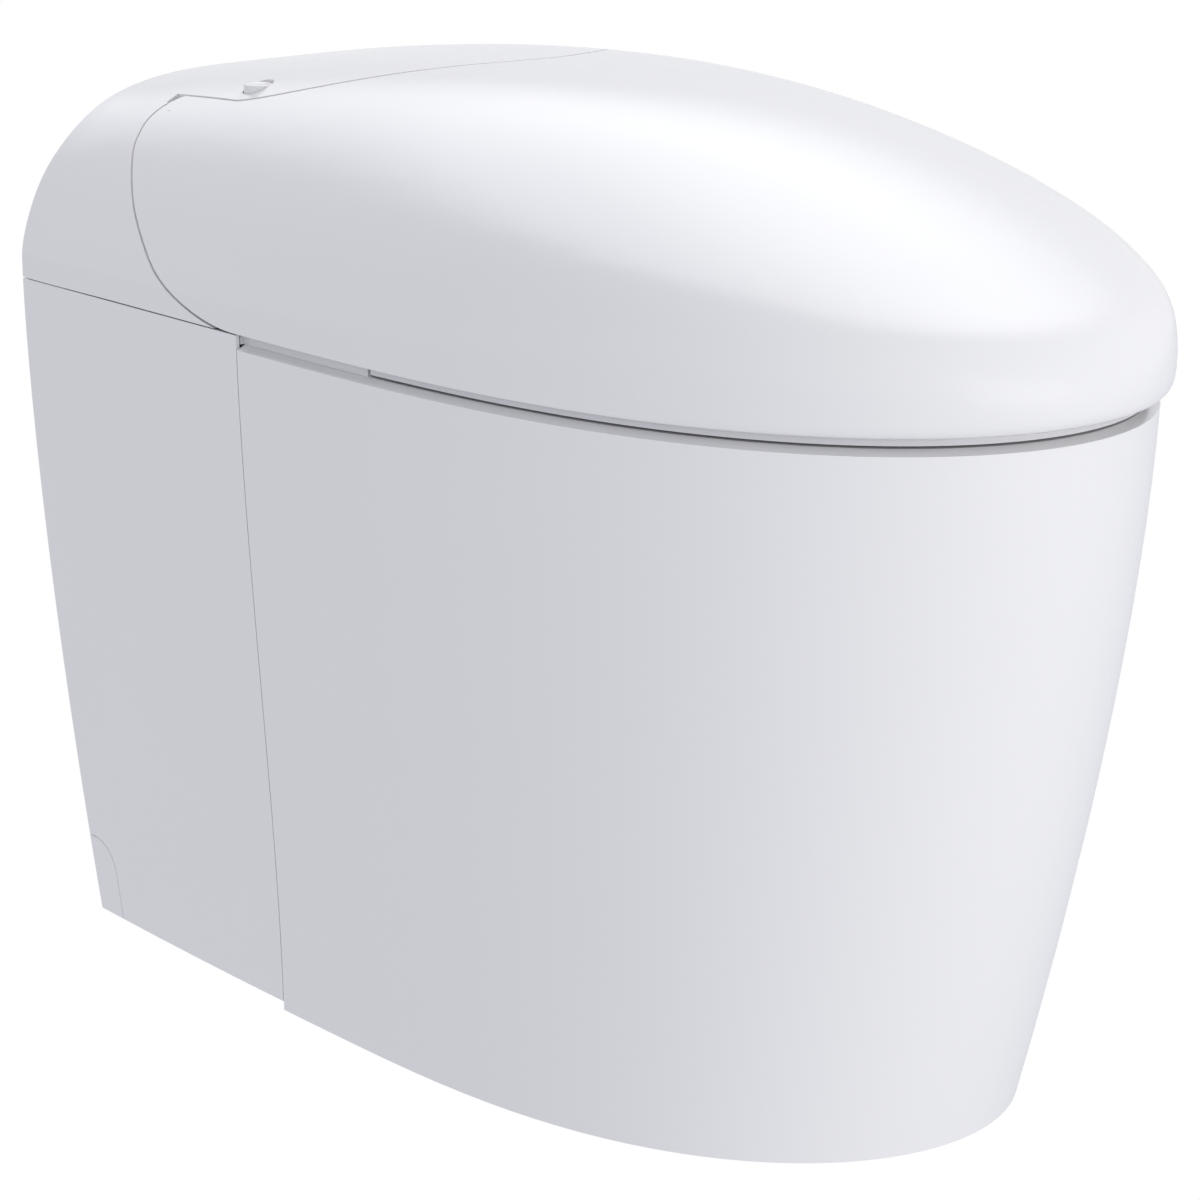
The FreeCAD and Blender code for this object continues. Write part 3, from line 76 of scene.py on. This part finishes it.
def makeWearGroup(grain):
    group = bpy.data.node_groups.new("surfaceVariation", "ShaderNodeTree")
    face = group.interface
    for name in ("Base", "Tint"):
        face.new_socket(name=name, in_out="INPUT", socket_type="NodeSocketColor")
    for name in ("Scale", "Rough", "RoughSpread", "Bump", "Fine"):
        face.new_socket(name=name, in_out="INPUT", socket_type="NodeSocketFloat")
    face.new_socket(name="Color", in_out="OUTPUT", socket_type="NodeSocketColor")
    face.new_socket(name="Roughness", in_out="OUTPUT", socket_type="NodeSocketFloat")
    face.new_socket(name="Normal", in_out="OUTPUT", socket_type="NodeSocketVector")
    start = group.nodes.new("NodeGroupInput")
    end = group.nodes.new("NodeGroupOutput")
    place = group.nodes.new("ShaderNodeTexCoord")
    broad = group.nodes.new("ShaderNodeTexNoise")
    broad.inputs["Detail"].default_value = grain["broadDetail"]
    fine = group.nodes.new("ShaderNodeTexNoise")
    fine.inputs["Detail"].default_value = grain["fineDetail"]
    link(group, place.outputs["Object"], broad.inputs["Vector"])
    link(group, place.outputs["Object"], fine.inputs["Vector"])
    link(group, start.outputs["Scale"], broad.inputs["Scale"])
    link(group, start.outputs["Fine"], fine.inputs["Scale"])
    # colour wanders between base and tint
    mix = group.nodes.new("ShaderNodeMix")
    mix.data_type = "RGBA"
    link(group, broad.outputs["Fac"], mix.inputs["Factor"])
    link(group, start.outputs["Base"], mix.inputs["A"])
    link(group, start.outputs["Tint"], mix.inputs["B"])
    link(group, mix.outputs["Result"], end.inputs["Color"])
    # roughness wanders round its middle value
    centred = group.nodes.new("ShaderNodeMath")
    centred.operation = "SUBTRACT"
    centred.inputs[1].default_value = 0.5
    link(group, broad.outputs["Fac"], centred.inputs[0])
    spread = group.nodes.new("ShaderNodeMath")
    spread.operation = "MULTIPLY_ADD"
    link(group, centred.outputs[0], spread.inputs[0])
    link(group, start.outputs["RoughSpread"], spread.inputs[1])
    link(group, start.outputs["Rough"], spread.inputs[2])
    link(group, spread.outputs[0], end.inputs["Roughness"])
    # fine grain only tilts the surface
    bump = group.nodes.new("ShaderNodeBump")
    bump.inputs["Distance"].default_value = grain["bumpDepth"]
    link(group, fine.outputs["Fac"], bump.inputs["Height"])
    link(group, start.outputs["Bump"], bump.inputs["Strength"])
    link(group, bump.outputs["Normal"], end.inputs["Normal"])
    return group


wear = makeWearGroup(wearGrain)

# What a finish has unless it says otherwise
usualLook = {
    "scale": 12.0,
    "fine": 500.0,
    "spread": 0.06,
    "bump": 0.05,
    "metal": 0.0,
    "coat": 0.0,
    "coatRough": 0.03,
}
tintShare = 0.97


def finish(name, ownLook):
    look = {**usualLook, **ownLook}
    material, tree, shader = makeMaterial(name)
    group = tree.nodes.new("ShaderNodeGroup")
    group.node_tree = wear
    tint = look.get("tint", [channel * tintShare for channel in look["color"]])
    group.inputs["Base"].default_value = (*look["color"], 1)
    group.inputs["Tint"].default_value = (*tint, 1)
    group.inputs["Scale"].default_value = look["scale"]
    group.inputs["Fine"].default_value = look["fine"]
    group.inputs["Rough"].default_value = look["rough"]
    group.inputs["RoughSpread"].default_value = look["spread"]
    group.inputs["Bump"].default_value = look["bump"]
    link(tree, group.outputs["Color"], shader.inputs["Base Color"])
    link(tree, group.outputs["Roughness"], shader.inputs["Roughness"])
    link(tree, group.outputs["Normal"], shader.inputs["Normal"])
    shader.inputs["Metallic"].default_value = look["metal"]
    shader.inputs["Coat Weight"].default_value = look["coat"]
    shader.inputs["Coat Roughness"].default_value = look["coatRough"]
    return material


# Finishes by material slot, colours in linear values
looks = {
    "ceramic": {
        "color": (0.80, 0.80, 0.802),
        "tint": (0.792, 0.792, 0.796),
        "rough": 0.2,
        "coat": 0.5,
        "coatRough": 0.04,
        "bump": 0.03,
    },
    "cover_white": {
        "color": (0.80, 0.80, 0.802),
        "tint": (0.792, 0.792, 0.796),
        "rough": 0.24,
        "coat": 0.5,
        "coatRough": 0.04,
        "bump": 0.03,
    },
    "inner_white": {"color": (0.70, 0.70, 0.72), "rough": 0.42, "bump": 0.12, "fine": 900.0},
    "rubber": {"color": (0.03, 0.03, 0.032), "rough": 0.7, "bump": 0.2, "fine": 700.0},
    "steel": {"color": (0.46, 0.47, 0.49), "rough": 0.34, "metal": 1.0, "bump": 0.1},
    "grey_plastic": {"color": (0.15, 0.155, 0.165), "rough": 0.5, "bump": 0.15, "fine": 900.0},
    "hose": {"color": (0.45, 0.47, 0.49), "rough": 0.3, "bump": 0.1},
    "carbon": {"color": (0.01, 0.01, 0.011), "rough": 0.85, "bump": 0.9, "fine": 380.0},
    "board": {"color": (0.01, 0.07, 0.03), "rough": 0.35, "bump": 0.08},
    "heater": {"color": (0.55, 0.56, 0.58), "rough": 0.3, "metal": 1.0, "bump": 0.2, "fine": 300.0},
    "brass": {"color": (0.55, 0.38, 0.13), "rough": 0.3, "metal": 1.0, "bump": 0.1},
}
materials = {slotName: finish(slotName, look) for slotName, look in looks.items()}
for part in frame["record"]["subparts"]:
    mesh = nodes[part["node"]].data
    mesh.materials.clear()
    mesh.materials.append(materials[part["material_slot"]])
print("materials done")

# Round pieces spun from a profile: weld distance in metres, crease angle in degrees
spinning = {
    "weld": 0.00001,
    "crease": 40,
}


def spinProfile(name, points, place, turns, finishName, closed):
    mesh = bpy.data.meshes.new(name)
    built = bmesh.new()
    corners = [built.verts.new((radius, 0, height)) for radius, height in points]
    following = corners[1:] + corners[:1] if closed else corners[1:]
    for start, end in zip(corners, following):
        built.edges.new((start, end))
    bmesh.ops.spin(
        built,
        geom=list(built.verts) + list(built.edges),
        cent=(0, 0, 0),
        axis=(0, 0, 1),
        angle=math.tau,
        steps=turns,
        use_merge=True,
    )
    bmesh.ops.remove_doubles(built, verts=built.verts, dist=spinning["weld"])
    bmesh.ops.recalc_face_normals(built, faces=built.faces)
    bmesh.ops.translate(built, verts=built.verts, vec=place)
    built.to_mesh(mesh)
    built.free()
    mesh.shade_smooth()
    mesh.set_sharp_from_angle(angle=math.radians(spinning["crease"]))
    piece = bpy.data.objects.new(name, mesh)
    bpy.context.scene.collection.objects.link(piece)
    mesh.materials.append(materials[finishName])
    return piece


# Push button: level dished top with a soft rim, skirt and stem below, in metres; depths from the top
buttonShape = {
    "radius": 0.009,
    "belowNodeTop": 0.001,
    "rimRound": 0.0011,
    "rimSteps": 6,
    "dishRadius": 0.0066,
    "dishDepth": 0.00055,
    "dishPower": 4,
    "dishSteps": 8,
    "skirtDepth": 0.011,
    "skirtWall": 0.0018,
    "capDepth": 0.0038,
    "stemRadius": 0.0025,
    "turns": 96,
}


def buttonProfile(shape, stemDepth):
    outer = shape["radius"]
    soft = shape["rimRound"]
    dish = shape["dishRadius"]
    depth = shape["dishDepth"]
    points = []
    for step in range(shape["dishSteps"] + 1):
        share = step / shape["dishSteps"]
        points.append((dish * share, -depth * (1 - share ** shape["dishPower"])))
    for step in range(shape["rimSteps"] + 1):
        turn = math.radians(90 * step / shape["rimSteps"])
        points.append((outer - soft + soft * math.sin(turn), -soft + soft * math.cos(turn)))
    inner = outer - shape["skirtWall"]
    points.append((outer, -shape["skirtDepth"]))
    points.append((inner, -shape["skirtDepth"]))
    points.append((inner, -shape["capDepth"]))
    points.append((shape["stemRadius"], -shape["capDepth"]))
    points.append((shape["stemRadius"], -stemDepth))
    points.append((0.0, -stemDepth))
    return points


def makeButton(shape):
    low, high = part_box("push_button")
    top = high[2] - shape["belowNodeTop"]
    middle = Vector(((low[0] + high[0]) / 2, (low[1] + high[1]) / 2, top))
    profile = buttonProfile(shape, middle.z - low[2])
    button = spinProfile("pushButtonTop", profile, middle, shape["turns"], "cover_white", False)
    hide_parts("push_button")
    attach(button, "button")


# Soft sleeve under the button, with shallow folds; it is a fixed shape on the toilet body
sleeveShape = {
    "wall": 0.0009,
    "folds": 5,
    "foldSteps": 8,
    "foldDepth": 0.0004,
    "topGap": 0.0001,
    "travel": 0.002,
    "turns": 64,
}


def makeSleeve(shape):
    low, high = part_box("button_spring")
    foot = Vector(((low[0] + high[0]) / 2, (low[1] + high[1]) / 2, low[2]))
    height = high[2] - low[2] - shape["topGap"]
    outer = (high[0] - low[0]) / 2
    steps = shape["folds"] * shape["foldSteps"]
    outside = []
    for step in range(steps + 1):
        share = step / steps
        fold = (1 - math.cos(math.tau * shape["folds"] * share)) / 2
        outside.append((outer - shape["foldDepth"] * fold, height * share))
    inside = [(radius - shape["wall"], rise) for radius, rise in reversed(outside)]
    sleeve = spinProfile("buttonSleeve", outside + inside, foot, shape["turns"], "rubber", True)
    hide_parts("button_spring")
    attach(sleeve, "toilet")
    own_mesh(sleeve)


makeButton(buttonShape)
makeSleeve(sleeveShape)
print("button done")

# Pale floor and even room light, white where the camera sees them directly.
# Gloss mirrors a room that is brightest above the far side: mirrorFrom and mirrorTo say
# how closely a reflection has to point mirrorToward for the brightness to rise.
studio = {
    "floorSize": 9.0,
    "floorDrop": 0.0005,
    "fill": (0.705, 0.712, 0.765),
    "seen": (1.0, 1.0, 1.0),
    "mirrorColor": (0.97, 0.975, 1.0),
    "mirrorToward": (0.22, 0.42, 0.88),
    "mirrorFrom": 0.73,
    "mirrorTo": 0.92,
    "mirrorLow": 0.86,
    "mirrorHigh": 2.2,
}


def glow(tree, color, kind):
    node = tree.nodes.new(kind)
    node.inputs["Color"].default_value = (*color, 1)
    node.inputs["Strength"].default_value = 1.0
    return node


def addSeenWhite(tree, surface, seen, output, kind):
    path = tree.nodes.new("ShaderNodeLightPath")
    mix = tree.nodes.new("ShaderNodeMixShader")
    link(tree, path.outputs["Is Camera Ray"], mix.inputs["Fac"])
    link(tree, surface.outputs[0], mix.inputs[1])
    link(tree, glow(tree, seen, kind).outputs[0], mix.inputs[2])
    link(tree, mix.outputs[0], output)


def makeFloor(look):
    bpy.ops.mesh.primitive_plane_add(size=look["floorSize"], location=(0, 0, -look["floorDrop"]))
    floor = bpy.context.object
    floor.name = "floor"
    material, tree, shader = makeMaterial("floorPale")
    tree.nodes.remove(shader)
    fill = glow(tree, look["fill"], "ShaderNodeEmission")
    output = tree.nodes["Material Output"].inputs["Surface"]
    addSeenWhite(tree, fill, look["seen"], output, "ShaderNodeEmission")
    floor.data.materials.append(material)


def makeWorld(look):
    world = bpy.data.worlds.new("studio")
    bpy.context.scene.world = world
    world.use_nodes = True
    tree = world.node_tree
    tree.nodes.remove(tree.nodes["Background"])
    way = tree.nodes.new("ShaderNodeTexCoord")
    toward = tree.nodes.new("ShaderNodeVectorMath")
    toward.operation = "DOT_PRODUCT"
    toward.inputs[1].default_value = look["mirrorToward"]
    rise = tree.nodes.new("ShaderNodeMapRange")
    rise.interpolation_type = "SMOOTHSTEP"
    rise.inputs["From Min"].default_value = look["mirrorFrom"]
    rise.inputs["From Max"].default_value = look["mirrorTo"]
    rise.inputs["To Min"].default_value = look["mirrorLow"]
    rise.inputs["To Max"].default_value = look["mirrorHigh"]
    link(tree, way.outputs["Generated"], toward.inputs[0])
    link(tree, toward.outputs["Value"], rise.inputs["Value"])
    mirrored = glow(tree, look["mirrorColor"], "ShaderNodeBackground")
    link(tree, rise.outputs["Result"], mirrored.inputs["Strength"])
    fill = glow(tree, look["fill"], "ShaderNodeBackground")
    path = tree.nodes.new("ShaderNodeLightPath")
    choose = tree.nodes.new("ShaderNodeMixShader")
    link(tree, path.outputs["Is Glossy Ray"], choose.inputs["Fac"])
    link(tree, fill.outputs[0], choose.inputs[1])
    link(tree, mirrored.outputs[0], choose.inputs[2])
    output = tree.nodes["World Output"].inputs["Surface"]
    addSeenWhite(tree, choose, look["seen"], output, "ShaderNodeBackground")


makeFloor(studio)
makeWorld(studio)

# Soft lamps: place, aim and size in metres, power in watts
lamps = {
    "overhead": {
        "place": (1.4, 0.4, 2.5),
        "aim": (0, 0, 0.4),
        "size": (2.2, 2.2),
        "power": 21.0,
        "color": (1.0, 0.985, 0.95),
    },
    "front": {
        "place": (0.2, -3.2, 0.2),
        "aim": (0, 0, 0.25),
        "size": (2.4, 2.0),
        "power": 62.0,
        "color": (1.0, 0.99, 0.96),
    },
}


def turnToward(holder, aim):
    way = Vector(aim) - holder.location
    holder.rotation_euler = way.to_track_quat("-Z", "Y").to_euler()


def makeLamp(name, look):
    lamp = bpy.data.lights.new(name, "AREA")
    lamp.shape = "RECTANGLE"
    lamp.size, lamp.size_y = look["size"]
    lamp.energy = look["power"]
    lamp.color = look["color"]
    holder = bpy.data.objects.new(name, lamp)
    bpy.context.scene.collection.objects.link(holder)
    holder.location = look["place"]
    turnToward(holder, look["aim"])
    holder.visible_glossy = False  # gloss shows the room alone


for lampName, look in lamps.items():
    makeLamp(lampName, look)
print("light done")

# The photo's view: lens and sensor in millimetres, place and aim in metres
view = {
    "lens": 118.763,
    "sensor": 36,
    "place": (-1.48278, -1.73357, 0.89312),
    "aim": (-0.001287, 0.047365, 0.252951),
}


def makeCamera(look):
    cameraData = bpy.data.cameras.new("photoCamera")
    cameraData.lens = look["lens"]
    cameraData.sensor_width = look["sensor"]
    camera = bpy.data.objects.new("photoCamera", cameraData)
    bpy.context.scene.collection.objects.link(camera)
    camera.location = look["place"]
    turnToward(camera, look["aim"])
    bpy.context.scene.camera = camera


makeCamera(view)
bpy.context.scene.view_settings.view_transform = "Standard"
print("camera done")
